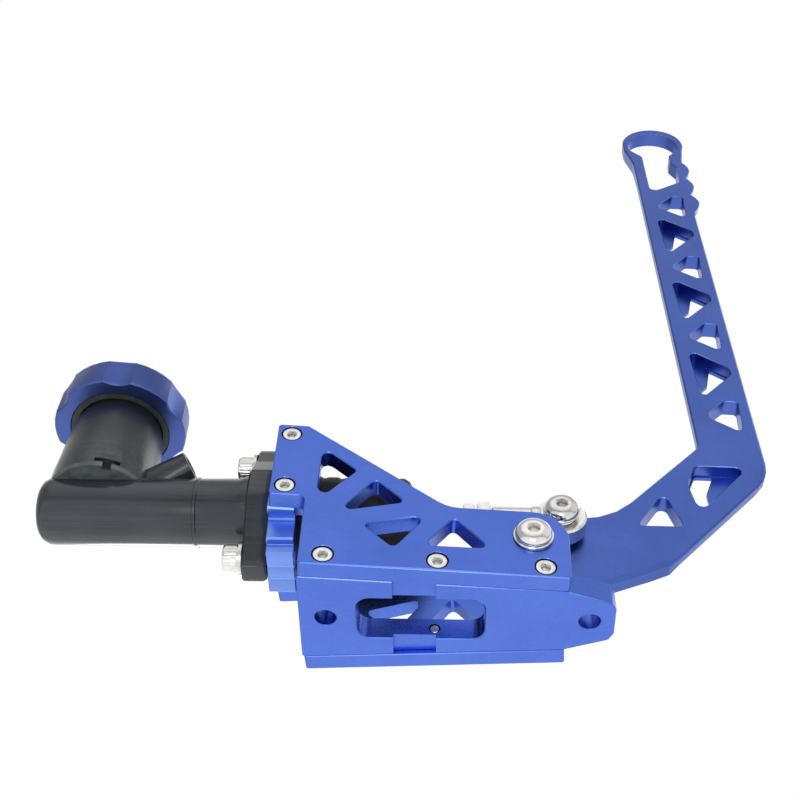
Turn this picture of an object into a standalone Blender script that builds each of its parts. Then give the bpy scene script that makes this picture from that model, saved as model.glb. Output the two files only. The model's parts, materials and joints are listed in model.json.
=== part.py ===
"""Hydraulic parking brake lever: billet frame, upright lever, master cylinder with reservoir.

Frame: +Z up, metres.  X runs along the cylinder, lever end +X, cylinder end -X.
Y runs across the frame.  The origin lies on the mounting face (underside of the
base), on the centre line, straight below the lever's pivot axis.
"""
import math

import bmesh
import bpy
from mathutils import Matrix, Vector
from mathutils.geometry import delaunay_2d_cdt

for _o in list(bpy.data.objects):
    bpy.data.objects.remove(_o, do_unlink=True)

# ---------------------------------------------------------------- dimensions (mm)
MM = 0.001
GAP = 0.3                    # play between touching pieces

# wedge-shaped frame
TAPER = 0.0621               # half width lost per mm of X (plates splay 3.55 degrees)
HALF_W0 = 19.5               # inner half width between the plates at the pivot
PLATE_T = 8.4
BASE_T = 12.0
BASE_X0, BASE_X1 = -101.4, 14.6
NOSE = ((33.6, 11.5), (35.6, 7.5))
MOUNT_HOLES = (-89.8, 24.6)
MOUNT_HOLE_D = 9.5
SLOT_X0, SLOT_X1, SLOT_HALF_W, SLOT_R = -76.3, -20.6, 12.5, 6.0
CHANNEL_X0, CHANNEL_X1, CHANNEL_D = -60.6, -41.7, 2.4
EDGE = 0.35                  # chamfer on billet edges

# M5 frame screws
SCREW_AT = ((-109.9, 82.5), (-109.9, 47.6), (-89.9, 6.1), (-41.3, 6.1), (4.6, 6.1))
SCREW_HEAD_R, SCREW_HEAD_H, SCREW_R, SCREW_L = 4.25, 5.0, 2.4, 12.5
CBORE_R, CBORE_D = 4.9, 5.3

# cylinder axis and bracket
AXIS_Z = 64.8
BRACKET_X0, BRACKET_X1 = -118.0, -105.6
FLANGE_X0, FLANGE_X1 = -129.8, -118.3
BOLT_PITCH_HALF = 30.0
BOLT_R = 4.0

# master cylinder
CYL_R, CYL_END = 16.0, -229.6
BORE_R, BORE_END = 9.525, -206.0      # 19.05 mm (3/4 in) bore
SPIGOT_R, SPIGOT_END = 14.6, -108.5
RES_X = -203.1
CAP_R, CAP_Z0, CAP_H = 33.0, 122.8, 18.2
CAP_BORE_R, NECK_R = 25.1, 21.2
GRIPS = 6                    # hollows round the cap

# lever
PIVOT_Z = 23.5
PIVOT_SEAT_R = 9.1            # spot face under the pivot washers
ROD_X, ROD_Z = 15.6, 62.0             # rod-end bolt
LEVER_Y0, LEVER_T = 7.2, 9.0
ARM_HALF_W = 15.6
LEAN = 0.0131                         # arm leans back this much per mm of height
HOLE_PITCH = 69.0
RING_C, RING_R = (99.4, 437.4), 20.1
LOOP_C, LOOP_R = (98.9, 434.6), 16.6
TRAVEL_DEG = 36.0

# pushrod
BALL_R, BALL_W, HOUSING_R, HOUSING_W = 8.4, 12.0, 12.0, 9.0
TIP_X = -125.2


# ---------------------------------------------------------------- materials
def material(name, rgb, rough, metal):
    m = bpy.data.materials.new(name)
    m.use_nodes = True
    b = m.node_tree.nodes["Principled BSDF"]
    b.inputs["Base Color"].default_value = (*rgb, 1.0)
    b.inputs["Roughness"].default_value = rough
    b.inputs["Metallic"].default_value = metal
    m.diffuse_color = (*rgb, 1.0)
    return m


LOOKS = {
    "blue": ((0.07, 0.14, 0.60), 0.32, 1.0),
    "lever_blue": ((0.05, 0.10, 0.42), 0.36, 1.0),
    "cast": ((0.035, 0.038, 0.045), 0.45, 0.2),
    "steel": ((0.72, 0.70, 0.67), 0.18, 1.0),
    "zinc": ((0.62, 0.62, 0.60), 0.3, 1.0),
    "rubber": ((0.015, 0.015, 0.016), 0.75, 0.0),
    "gasket": ((0.12, 0.13, 0.11), 0.7, 0.0),
    "bronze": ((0.45, 0.30, 0.14), 0.4, 1.0),
    "spring": ((0.35, 0.35, 0.36), 0.35, 1.0),
}


# ---------------------------------------------------------------- outline helpers
def fillet(corners, seg=4):
    """Closed outline from (x, y, radius) corners, each rounded by its radius."""
    out = []
    n = len(corners)
    for i, c in enumerate(corners):
        p = Vector(c[:2])
        r = c[2] if len(c) > 2 else 0.0
        a = Vector(corners[i - 1][:2]) - p
        b = Vector(corners[(i + 1) % n][:2]) - p
        a.normalize()
        b.normalize()
        half = a.angle(b) / 2
        if r <= 0 or half > math.pi / 2 - 1e-3:
            out.append(p)
            continue
        d = r / math.tan(half)
        centre = p + (a + b).normalized() * (r / math.sin(half))
        s, e = p + a * d - centre, p + b * d - centre
        turn = math.atan2(s.x * e.y - s.y * e.x, s.dot(e))
        steps = max(1, min(seg, math.ceil(abs(turn) / math.radians(16))))
        for k in range(steps + 1):
            t = turn * k / steps
            out.append(centre + Vector((s.x * math.cos(t) - s.y * math.sin(t), s.x * math.sin(t) + s.y * math.cos(t))))
    return out


def circle(cx, cy, r, n, phase=0.0):
    return [Vector((cx + r * math.cos(phase + 2 * math.pi * k / n), cy + r * math.sin(phase + 2 * math.pi * k / n))) for k in range(n)]


def arc(cx, cy, r, a0, a1, n):
    return [Vector((cx + r * math.cos(math.radians(a0 + (a1 - a0) * k / n)), cy + r * math.sin(math.radians(a0 + (a1 - a0) * k / n)))) for k in range(n + 1)]


def area(loop):
    return sum(loop[i - 1].x * p.y - p.x * loop[i - 1].y for i, p in enumerate(loop)) / 2


def ccw(loop):
    return loop if area(loop) > 0 else loop[::-1]


def offset(loop, d):
    """Every point of a counter-clockwise loop moved inwards by d, a distance or a function of the point."""
    out = []
    n = len(loop)
    for i, p in enumerate(loop):
        e0 = (p - loop[i - 1]).normalized()
        e1 = (loop[(i + 1) % n] - p).normalized()
        n0, n1 = Vector((-e0.y, e0.x)), Vector((-e1.y, e1.x))
        out.append(p + (n0 + n1) * ((d(p) if callable(d) else d) / max(1 + n0.dot(n1), 0.35)))
    return out


# ---------------------------------------------------------------- mesh helpers
def finish(name, bm, look, smooth=True, angle=32.0):
    bmesh.ops.remove_doubles(bm, verts=bm.verts, dist=1e-7)
    bmesh.ops.recalc_face_normals(bm, faces=bm.faces)
    me = bpy.data.meshes.new(name)
    bm.to_mesh(me)
    bm.free()
    ob = bpy.data.objects.new(name, me)
    bpy.context.scene.collection.objects.link(ob)
    me.materials.append(material(name + "_finish", *LOOKS[look]))
    if smooth:
        me.shade_smooth()
        me.set_sharp_from_angle(angle=math.radians(angle))
    return ob


def bridge(bm, a, b):
    n = len(a)
    for i in range(n):
        j = (i + 1) % n
        bm.faces.new((a[i], a[j], b[j], b[i]))


def inside(p, loop):
    hit = False
    for i, b in enumerate(loop):
        a = loop[i - 1]
        if (a.y > p.y) != (b.y > p.y) and p.x < a.x + (p.y - a.y) * (b.x - a.x) / (b.y - a.y):
            hit = not hit
    return hit


def cap(bm, loops):
    """Flat face with holes: loops[0] is the border, the others are holes."""
    pts, verts, edges = [], [], []
    for loop, vs in loops:
        s, n = len(pts), len(loop)
        pts += [Vector((p.x, p.y)) for p in loop]
        verts += vs
        edges += [(s + i, s + (i + 1) % n) for i in range(n)]
    coords, _, tris, origin, _, _ = delaunay_2d_cdt(pts, edges, [], 1, 1e-6)
    crossed = [tuple(round(v, 2) for v in coords[i]) for i, o in enumerate(origin) if not o]
    if crossed:
        raise ValueError(f"outlines cross at {crossed}")
    for t in tris:
        c = (coords[t[0]] + coords[t[1]] + coords[t[2]]) / 3
        if inside(c, loops[0][0]) and not any(inside(c, lp) for lp, _ in loops[1:]):
            bm.faces.new([verts[origin[i][0]] for i in t])


def prism(name, outer, holes, place, look, angle=32.0):
    """Solid between its first and last outer loops.

    outer: [(level, loop), ...] from one face to the other, equal counts.
    holes: each a list of stages; a stage is [(level, loop), ...] with equal counts;
           where two stages follow each other, the step between them is a flat face.
    place: function of (x, y, level) giving the point in millimetres.
    """
    bm = bmesh.new()

    def verts(loop, level, base=None):
        lv = level if callable(level) else (lambda p: level)
        return [bm.verts.new(Vector(place(p.x, p.y, lv(q))) * MM) for p, q in zip(loop, base or loop)]

    rows = [(loop, verts(loop, lv, outer[1][1])) for lv, loop in outer]
    for a, b in zip(rows, rows[1:]):
        bridge(bm, a[1], b[1])
    low, high = [rows[0]], [rows[-1]]
    for stages in holes:
        last = None
        for k, stage in enumerate(stages):
            hr = [(loop, verts(loop, lv)) for lv, loop in stage]
            for a, b in zip(hr, hr[1:]):
                bridge(bm, a[1], b[1])
            if k == 0:
                low.append(hr[0])
            else:
                big, small = (last, hr[0]) if abs(area(last[0])) > abs(area(hr[0][0])) else (hr[0], last)
                cap(bm, [big, small])
            last = hr[-1]
        high.append(last)
    cap(bm, low)
    cap(bm, high)
    return finish(name, bm, look, angle=angle)


def lathe(name, profile, origin, axis, look, n=32, closed_ends=True, angle=32.0, build=True):
    """Turned solid: profile of (along, radius) from one end to the other; radius 0 ends on the axis.

    With closed_ends False, the profile is a closed ring section."""
    bm = bmesh.new()
    ax = Vector(axis).normalized()
    side = Vector((0, 0, 1)) if abs(ax.z) < 0.9 else Vector((1, 0, 0))
    u = (side - ax * side.dot(ax)).normalized()
    v = ax.cross(u)
    o = Vector(origin)
    rows = []
    for s, r in profile:
        if r <= 1e-6:
            rows.append([bm.verts.new((o + ax * s) * MM)])
        else:
            rows.append([bm.verts.new((o + ax * s + (u * math.cos(2 * math.pi * k / n) + v * math.sin(2 * math.pi * k / n)) * r) * MM) for k in range(n)])
    pairs = list(zip(rows, rows[1:]))
    if not closed_ends:
        pairs.append((rows[-1], rows[0]))
    for a, b in pairs:
        if len(a) == 1 and len(b) == 1:
            continue
        if len(a) == 1 or len(b) == 1:
            one, ring = (a[0], b) if len(a) == 1 else (b[0], a)
            for k in range(n):
                bm.faces.new((one, ring[k], ring[(k + 1) % n]))
        else:
            bridge(bm, a, b)
    if closed_ends:
        for ring in (rows[0], rows[-1]):
            if len(ring) > 1:
                bm.faces.new(ring)
    if not build:
        bmesh.ops.recalc_face_normals(bm, faces=bm.faces)
        return bm
    return finish(name, bm, look, angle=angle)


def socket_screw(name, head_base, axis, head_r, head_h, shank_r, shank_l, look, n=18, hex_af=4.0, hex_d=2.6, dome=False, shank_l2=0.0):
    """Screw whose head sits on head_base and points along axis; hexagon socket in the head."""
    bm = bmesh.new()
    ax = Vector(axis).normalized()
    u = Vector((0, 0, 1)) if abs(ax.z) < 0.9 else Vector((1, 0, 0))
    u = (u - ax * u.dot(ax)).normalized()
    v = ax.cross(u)
    o = Vector(head_base)

    def ring(s, r, k6=False):
        row = []
        for k in range(n):
            t = 2 * math.pi * k / n
            rr = r
            if k6:
                w = (t % (math.pi / 3)) - math.pi / 6
                rr = r / math.cos(w)
            row.append(bm.verts.new((o + ax * s + (u * math.cos(t) + v * math.sin(t)) * rr) * MM))
        return row

    rows = [ring(-shank_l, shank_r - 0.2), ring(0.0, shank_r)]
    if dome:
        rows += [ring(0.0, head_r - 0.35), ring(0.45, head_r)]
        rim = hex_af / 2 + 0.75
        for k in range(1, 6):
            t = k / 5
            a = math.radians(90 * t)
            rows.append(ring(0.45 + (head_h - 0.45) * math.sin(a), rim + (head_r - rim) * math.cos(a)))
    else:
        rows += [ring(0.0, head_r), ring(head_h - 0.45, head_r), ring(head_h, head_r - 0.45)]
    rows += [ring(head_h, hex_af / 2, True), ring(head_h - hex_d, hex_af / 2, True)]
    for a, b in zip(rows, rows[1:]):
        bridge(bm, a, b)
    bm.faces.new(rows[0])
    bm.faces.new(rows[-1])
    return finish(name, bm, look, angle=30)


def hex_nut(name, x0, x1, af, bore_r, origin, axis, look, n=18):
    """Hexagon nut or hexagon head ring with a plain bore; corners chamfered."""
    bm = bmesh.new()
    ax = Vector(axis).normalized()
    u = Vector((0, 0, 1)) if abs(ax.z) < 0.9 else Vector((1, 0, 0))
    u = (u - ax * u.dot(ax)).normalized()
    v = ax.cross(u)
    o = Vector(origin)

    def ring(s, r, k6, limit=None):
        row = []
        for k in range(n):
            t = 2 * math.pi * k / n
            rr = r / math.cos((t % (math.pi / 3)) - math.pi / 6) if k6 else r
            if limit:
                rr = min(rr, limit)
            row.append(bm.verts.new((o + ax * s + (u * math.cos(t) + v * math.sin(t)) * rr) * MM))
        return row

    h = af / 2
    c = (h / math.cos(math.pi / 6) - h) * 0.55
    rows = [ring(x0, bore_r, False), ring(x0, h * 0.97, False), ring(x0 + c, h, True), ring(x1 - c, h, True), ring(x1, h * 0.97, False), ring(x1, bore_r, False)]
    for a, b in zip(rows, rows[1:] + rows[:1]):
        bridge(bm, a, b)
    return finish(name, bm, look, angle=25)


def cutter(target, name, bm, op="DIFFERENCE"):
    """Boolean tool: kept as a wire object beside the solid that it shapes."""
    bmesh.ops.recalc_face_normals(bm, faces=bm.faces)
    me = bpy.data.meshes.new(name)
    bm.to_mesh(me)
    bm.free()
    me.shade_smooth()
    me.set_sharp_from_angle(angle=math.radians(32))
    ob = bpy.data.objects.new(name, me)
    bpy.context.scene.collection.objects.link(ob)
    ob.hide_render = True
    ob.display_type = "WIRE"
    mod = target.modifiers.new(name, "BOOLEAN")
    mod.operation = op
    mod.solver = "EXACT"
    mod.object = ob
    return ob


def cyl_bm(p0, p1, r, n=16, r1=None):
    p0, p1 = Vector(p0), Vector(p1)
    return lathe("tool", [(0, r), ((p1 - p0).length, r if r1 is None else r1)], p0, p1 - p0, "steel", n=n, build=False)


def box_bm(lo, hi):
    bm = bmesh.new()
    bmesh.ops.create_cube(bm, size=1.0)
    lo, hi = Vector(lo) * MM, Vector(hi) * MM
    for v in bm.verts:
        v.co = Vector((lo.x + (v.co.x + 0.5) * (hi.x - lo.x), lo.y + (v.co.y + 0.5) * (hi.y - lo.y), lo.z + (v.co.z + 0.5) * (hi.z - lo.z)))
    return bm


# ---------------------------------------------------------------- frame geometry
ALPHA = math.atan(TAPER)
CA, SA = math.cos(ALPHA), math.sin(ALPHA)


def half_w(x):
    return HALF_W0 - TAPER * x


def plate_place(side):
    """(u, z, w) on a side plate: u along it, w outwards from its inner face."""
    def place(u, z, w):
        x = u * CA + w * SA
        y = -(HALF_W0 - u * SA + w * CA)
        return (x, y * side, z)
    return place


def plate_u(x, w=PLATE_T):
    """Distance along a plate of the point that lies at X on its outer face."""
    return (x - w * SA) / CA


def plate_loop(points, seg=4):
    return ccw([Vector((plate_u(p.x), p.y)) for p in fillet(points, seg)])


WINDOWS = (
    [(-95.0, 74.6, 3.0), (-95.0, 38.4, 3.0), (-78.4, 59.8, 1.8)],
    [(-69.6, 54.6, 2.2), (-85.2, 33.0, 2.2), (-56.0, 40.8, 1.8)],
    [(-74.4, 25.9, 1.8), (-60.3, 12.4, 2.2), (-46.2, 33.0, 2.2)],
    [(-34.2, 32.8, 2.2), (-47.0, 15.0, 1.8), (-19.2, 15.2, 1.8)],
)


def plate_outline():
    """Ear, slanted back edge, flat top and the round end about the pivot."""
    pts = [(-116.4, 41.2, 1.2), (-100.4, 41.2, 3.0), (-100.2, 0.0, 1.2), (15.3, 0.0, 1.2)]
    pts += [(p.x, p.y, 0.0) for p in arc(0.0, PIVOT_Z, 15.7, 0, 90, 8)]
    return pts + [(-37.0, 39.2, 16.0), (-102.5, 88.7, 1.5), (-116.4, 88.7, 1.4)]


def side_plate(name, side):
    c = EDGE
    loop = plate_loop(plate_outline(), 5)
    outer = [(0.0, offset(loop, c)), (c, loop), (PLATE_T - c, loop), (PLATE_T, offset(loop, c))]
    holes = []
    for w in WINDOWS:
        lo = plate_loop(w, 3)
        holes.append([[(0.0, lo), (PLATE_T - 0.5, lo), (PLATE_T, offset(lo, -0.5))]])
    for x, z in SCREW_AT:
        u = plate_u(x)
        seat = PLATE_T - CBORE_D
        holes.append([[(0.0, circle(u, z, 2.8, 16)), (seat, circle(u, z, 2.8, 16)), (seat, circle(u, z, CBORE_R, 16)),
                       (PLATE_T - 0.2, circle(u, z, CBORE_R, 16)), (PLATE_T, circle(u, z, CBORE_R + 0.2, 16))]])
    # pivot hole, square to the pin and not to the splayed plate, with a flat seat for the washer
    n = 24
    k = math.tan(ALPHA)
    seat_r = PIVOT_SEAT_R
    edge_u = plate_u(0.0) + seat_r

    def seat_level(p):
        return PLATE_T - 0.12 - (edge_u - p.x) * k

    uc = plate_u(0.0)
    holes.append([[(0.0, circle(uc + PLATE_T * k, PIVOT_Z, 4.4, n)), (seat_level, circle(uc + 0.6 * k, PIVOT_Z, 4.4, n)),
                   (seat_level, circle(uc, PIVOT_Z, seat_r, n)), (PLATE_T, circle(uc, PIVOT_Z, seat_r, n))]])
    return prism(name, outer, holes, plate_place(side), "blue")


side_plate("side_plate_near", 1)
side_plate("side_plate_far", -1)
for tag, side in (("near", 1), ("far", -1)):
    pl = plate_place(side)
    out = Vector(pl(0, 0, 1)) - Vector(pl(0, 0, 0))
    for i, (x, z) in enumerate(SCREW_AT, 1):
        seat = Vector(pl(plate_u(x), z, PLATE_T - CBORE_D + 0.03))
        socket_screw(f"frame_screw_{tag}_{i}", seat, out, SCREW_HEAD_R, SCREW_HEAD_H, SCREW_R, SCREW_L, "steel", n=12)

# ---------------------------------------------------------------- base
base_side = half_w(BASE_X0) - GAP, half_w(BASE_X1) - GAP
base_loop = ccw(fillet([
    (BASE_X0, -base_side[0], 0.8), (BASE_X1, -base_side[1], 1.0), (NOSE[0][0], -NOSE[0][1], 2.5), (NOSE[1][0], -NOSE[1][1], 1.5),
    (NOSE[1][0], NOSE[1][1], 1.5), (NOSE[0][0], NOSE[0][1], 2.5), (BASE_X1, base_side[1], 1.0), (BASE_X0, base_side[0], 0.8)], 3))
slot = ccw(fillet([(SLOT_X0, -SLOT_HALF_W, SLOT_R), (SLOT_X1, -SLOT_HALF_W, SLOT_R), (SLOT_X1, SLOT_HALF_W, SLOT_R), (SLOT_X0, SLOT_HALF_W, SLOT_R)], 6))
base_holes = [[[(0.0, offset(slot, -0.5)), (0.5, slot), (BASE_T - 0.5, slot), (BASE_T, offset(slot, -0.5))]]]
for hx in MOUNT_HOLES:
    r = MOUNT_HOLE_D / 2
    base_holes.append([[(0.0, circle(hx, 0, r + 0.35, 28)), (0.35, circle(hx, 0, r, 28)), (BASE_T - 0.35, circle(hx, 0, r, 28)), (BASE_T, circle(hx, 0, r + 0.35, 28))]])
base = prism("base_plate", [(0.0, offset(base_loop, EDGE)), (EDGE, base_loop), (BASE_T - EDGE, base_loop), (BASE_T, offset(base_loop, EDGE))],
             base_holes, lambda x, y, z: (x, y, z), "blue")
cutter(base, "tool_channel", box_bm((CHANNEL_X0, -40, -5), (CHANNEL_X1, 40, CHANNEL_D)))
for tag, side in (("near", 1), ("far", -1)):
    pl = plate_place(side)
    for i in (3, 4, 5):
        x, z = SCREW_AT[i - 1]
        u = plate_u(x)
        cutter(base, f"tool_base_{tag}_{i}", cyl_bm(pl(u, z, 3.0), pl(u, z, -11.2), 2.75, 10))

# ---------------------------------------------------------------- cylinder bracket
def bracket_loop(x):
    """Cross-section at X: flush between the plates, stepped lobes for the cylinder's flange bolts."""
    w = half_w(x) - GAP
    top = [(w, 88.2, 0.8), (18.9, 88.2, 0.3), (18.3, 89.2), (17.3, 98.8, 0.8), (13.5, 98.8, 0.3), (12.7, 103.6, 0.8)]
    low = [(w, 41.2, 0.8), (20.4, 41.2, 0.6), (19.5, 42.4), (18.5, 41.2, 0.6), (17.3, 31.0, 0.8), (13.5, 31.0, 0.3), (12.7, 26.3, 0.8),
           (4.9, 26.3, 0.4), (4.0, 27.3), (3.1, 26.3, 0.4)]
    up = top + [(-y, z, *r) for y, z, *r in top[::-1]]
    down = [(-y, z, *r) for y, z, *r in low] + low[::-1]
    return ccw(fillet(up + down, 1))


bx0, bx1 = BRACKET_X0, BRACKET_X1
big = circle(0, AXIS_Z, 18.6, 36)
bolt_holes = [[[(bx0, circle(0, AXIS_Z + s * BOLT_PITCH_HALF, BOLT_R + GAP, 20)), (bx1, circle(0, AXIS_Z + s * BOLT_PITCH_HALF, BOLT_R + GAP, 20))]] for s in (1, -1)]
l0, l1 = bracket_loop(bx0), bracket_loop(bx1)
bracket = prism("cylinder_bracket",
                [(bx0, offset(l0, 0.3)), (bx0 + 0.3, l0), (bx1 - 0.3, l1), (bx1, offset(l1, 0.3))],
                [[[(bx0, big), (bx1, big)]]] + bolt_holes, lambda y, z, x: (x, y, z), "blue", angle=25)
for tag, side in (("near", 1), ("far", -1)):
    pl = plate_place(side)
    for i in (1, 2):
        x, z = SCREW_AT[i - 1]
        u = plate_u(x)
        cutter(bracket, f"tool_bracket_{tag}_{i}", cyl_bm(pl(u, z, 3.0), pl(u, z, -11.2), 2.75, 10))

# ---------------------------------------------------------------- master cylinder
ax0 = (0.0, 0.0, AXIS_Z)
cyl_profile = [(CYL_END, 0.0), (CYL_END, 9.0), (CYL_END + 0.9, 12.2), (CYL_END + 2.6, 14.4), (CYL_END + 5.4, 15.8), (CYL_END + 8.0, 16.0), (-155.6, 16.0),
               (-155.1, 16.6), (-153.9, 16.6), (-153.4, 16.1), (-135.0, 16.4), (-132.2, 17.4), (-124.0, 17.4), (FLANGE_X1, 15.2), (FLANGE_X1 + 0.01, SPIGOT_R),
               (-114.0, SPIGOT_R), (-113.6, SPIGOT_R - 0.9), (-111.6, SPIGOT_R - 0.9), (-111.2, SPIGOT_R), (SPIGOT_END + 0.6, SPIGOT_R), (SPIGOT_END, SPIGOT_R - 0.6), (SPIGOT_END, 0.0)]
cyl = lathe("master_cylinder_body", cyl_profile, ax0, (1, 0, 0), "cast", n=32, angle=38)


def flange_loop(grow=0.0):
    """Two-bolt diamond flange: round centre, straight flanks, flat-topped ends."""
    pts = [(4.6, 104.4, 1.2), (6.6, 100.4, 2.0), (9.9, 90.4, 4.0), (20.6, 72.5, 8.0), (20.6, 57.1, 8.0), (9.9, 39.2, 4.0), (6.6, 29.2, 2.0), (4.6, 25.2, 1.2)]
    pts = [(y + grow, z, r) for y, z, r in pts]
    return ccw(fillet(pts + [(-y, z, r) for y, z, r in pts[::-1]], 3))


def loft_bm(levels, place):
    """Closed solid between loops of equal counts."""
    bm = bmesh.new()
    rows = []
    for lv, loop in levels:
        rows.append((loop, [bm.verts.new(Vector(place(p.x, p.y, lv)) * MM) for p in loop]))
    for a, b in zip(rows, rows[1:]):
        bridge(bm, a[1], b[1])
    cap(bm, [rows[0]])
    cap(bm, [rows[-1]])
    return bm


for s in (1, -1):                                   # cheeks that reach forward beside the boot
    cheek = ccw([Vector((s * y, z)) for y, z in ((19.2, 44.0), (23.6, 44.0), (23.6, 86.0), (19.2, 86.0))])
    cutter(bracket, f"tool_cheek_{s}", loft_bm([(bx1 - 2.0, cheek), (bx1 + 5.2, cheek)], lambda y, z, x: (x, y, z)), "UNION")
fl = flange_loop()
cutter(cyl, "tool_flange", loft_bm([(FLANGE_X0, offset(fl, 1.0)), (FLANGE_X0 + 1.0, fl), (FLANGE_X1 - 1.6, fl), (FLANGE_X1, offset(fl, 1.0))], lambda y, z, x: (x, y, z)), "UNION")
neck = [(71.0, 0.0), (71.0, 23.9), (72.2, 25.1), (80.0, 25.1), (90.0, 24.4), (98.0, 23.9), (112.0, 23.2), (118.0, 22.3), (121.5, NECK_R), (133.2, NECK_R), (134.0, NECK_R - 0.6), (134.0, 0.0)]
cutter(cyl, "tool_reservoir", lathe("tool", neck, (RES_X, 0, 0), (0, 0, 1), "cast", n=36, build=False), "UNION")


def wedge_bm(a0, a1, z0, z1, r0, r1, inner, steps=3):
    """Block on the neck between two angles (from +X towards -Y) and two heights, its face leaning from r1 above to r0 below."""
    bm = bmesh.new()
    rows = []
    for k in range(steps + 1):
        a = math.radians(a0 + (a1 - a0) * k / steps)
        d = Vector((math.cos(a), -math.sin(a), 0))
        rows.append([bm.verts.new((Vector((RES_X, 0, z)) + d * rr) * MM) for z, rr in ((z0, inner), (z0, r0), (z1, r1), (z1, inner))])
    for a, b in zip(rows, rows[1:]):
        bridge(bm, a, b)
    bm.faces.new(rows[0])
    bm.faces.new(rows[-1])
    return bm


# cast pad low on the front of the neck, with a T-shaped recess under it
cutter(cyl, "tool_pad", wedge_bm(61.4, 87.3, 75.8, 81.8, 24.2, 26.0, 22.0), "UNION")
tee = ccw([Vector(q) for q in ((-6.1, 75.2), (-6.1, 72.9), (-1.9, 72.9), (-1.9, 67.0), (2.3, 67.0), (2.3, 72.9), (6.1, 72.9), (6.1, 75.2))])
tee_a = math.radians(74.3)
tee_n, tee_t = Vector((math.cos(tee_a), -math.sin(tee_a))), Vector((math.sin(tee_a), math.cos(tee_a)))


def tee_place(t, z, d):
    q = tee_n * d + tee_t * t
    return (RES_X + q.x, q.y, z)


cutter(cyl, "tool_tee", loft_bm([(21.3, tee), (28.0, tee)], tee_place))
PORT_DIR = Vector((0.836, -0.282, 0.356)).normalized()
PORT_END = Vector((-161.0, -9.0, 88.0))
cutter(cyl, "tool_boss", lathe("tool", [(0, 0.0), (0, 6.6), (0.5, 7.2), (24.0, 8.2), (24.0, 0.0)], PORT_END, -PORT_DIR, "cast", n=18, build=False), "UNION")
bore = [(BORE_END, 0.0), (BORE_END, 8.0), (BORE_END + 1.5, BORE_R), (-112.9, BORE_R), (-112.9, 10.6), (-111.3, 10.6), (-111.3, 10.1), (SPIGOT_END - 0.3, 10.1), (SPIGOT_END + 3, 11.2), (SPIGOT_END + 3, 0.0)]
cutter(cyl, "tool_bore", lathe("tool", bore, ax0, (1, 0, 0), "cast", n=24, build=False))
cavity = [(84.0, 0.0), (84.0, 17.0), (88.0, 20.2), (112.0, 19.6), (120.0, 18.8), (137.0, 18.8), (137.0, 0.0)]
cutter(cyl, "tool_cavity", lathe("tool", cavity, (RES_X + 0.05, 0.03, 0), (0, 0, 1), "cast", n=30, build=False))
cutter(cyl, "tool_feed", cyl_bm((-186.0, 0, 70.0), (-186.0, 0, 90.0), 1.6, 12))
cutter(cyl, "tool_port", lathe("tool", [(-2.0, 0.0), (-2.0, 5.6), (0.6, 4.8), (12.0, 4.8), (14.0, 0.0)], PORT_END, -PORT_DIR, "cast", n=16, build=False))
for s in (1, -1):
    z = AXIS_Z + s * BOLT_PITCH_HALF
    cutter(cyl, f"tool_flange_hole_{s}", cyl_bm((FLANGE_X0 - 3, 0, z), (FLANGE_X1 + 3, 0, z), BOLT_R + GAP, 16))

for tag, s in (("upper", 1), ("lower", -1)):
    z = AXIS_Z + s * BOLT_PITCH_HALF
    lathe(f"flange_washer_{tag}", [(-1.6, BOLT_R + GAP), (-1.6, 7.9), (-0.05, 7.9), (-0.05, BOLT_R + GAP)], (FLANGE_X0 - 0.1, 0, z), (1, 0, 0), "zinc", n=24, closed_ends=False)
    socket_screw(f"flange_bolt_{tag}", (FLANGE_X0 - 1.85, 0, z), (-1, 0, 0), 6.5, 7.2, BOLT_R, 25.0, "zinc", n=18, hex_af=6.0, hex_d=4.0)

# inside the bore
lathe("stop_washer", [(-114.6, 7.0), (-114.6, 9.2), (-113.2, 9.2), (-113.2, 7.0)], ax0, (1, 0, 0), "steel", n=28, closed_ends=False)
bm = bmesh.new()
ring_pts = arc(0, 0, 10.25, 20, 340, 28)
inner_pts = arc(0, 0, 8.3, 22, 338, 28)
sect = []
for xx in (-112.7, -111.5):
    sect.append(([bm.verts.new(Vector((xx, p.x, AXIS_Z + p.y)) * MM) for p in ring_pts], [bm.verts.new(Vector((xx, p.x, AXIS_Z + p.y)) * MM) for p in inner_pts]))
(a_o, a_i), (b_o, b_i) = sect
for k in range(len(a_o) - 1):
    bm.faces.new((a_o[k], a_o[k + 1], b_o[k + 1], b_o[k]))
    bm.faces.new((a_i[k], a_i[k + 1], b_i[k + 1], b_i[k]))
    bm.faces.new((a_o[k], a_o[k + 1], a_i[k + 1], a_i[k]))
    bm.faces.new((b_o[k], b_o[k + 1], b_i[k + 1], b_i[k]))
for k in (0, -1):
    bm.faces.new((a_o[k], b_o[k], b_i[k], a_i[k]))
finish("snap_ring", bm, "spring")

piston = [(-151.0, 0.0), (-151.0, 4.4), (-147.6, 4.4), (-147.6, 9.2), (-144.0, 9.2), (-144.0, 7.4), (-122.6, 7.4), (-122.6, 9.2), (-119.9, 9.2), (-119.9, 7.7), (-117.6, 7.7), (-117.6, 9.2),
          (-115.2, 9.2), (-115.0, 8.9), (-115.0, 6.5), (-125.8, 6.4), (-127.0, 5.4), (-127.2, 0.0)]
lathe("piston", piston, ax0, (1, 0, 0), "bronze", n=20)
lathe("primary_cup", [(-147.9, 4.8), (-147.9, 9.2), (-152.6, 9.35), (-152.6, 8.0), (-150.2, 6.4), (-150.2, 4.8)], ax0, (1, 0, 0), "rubber", n=22, closed_ends=False)
lathe("secondary_cup", [(-119.6, 8.0), (-119.6, 9.3), (-117.9, 9.3), (-117.9, 8.0)], ax0, (1, 0, 0), "rubber", n=22, closed_ends=False)


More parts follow.
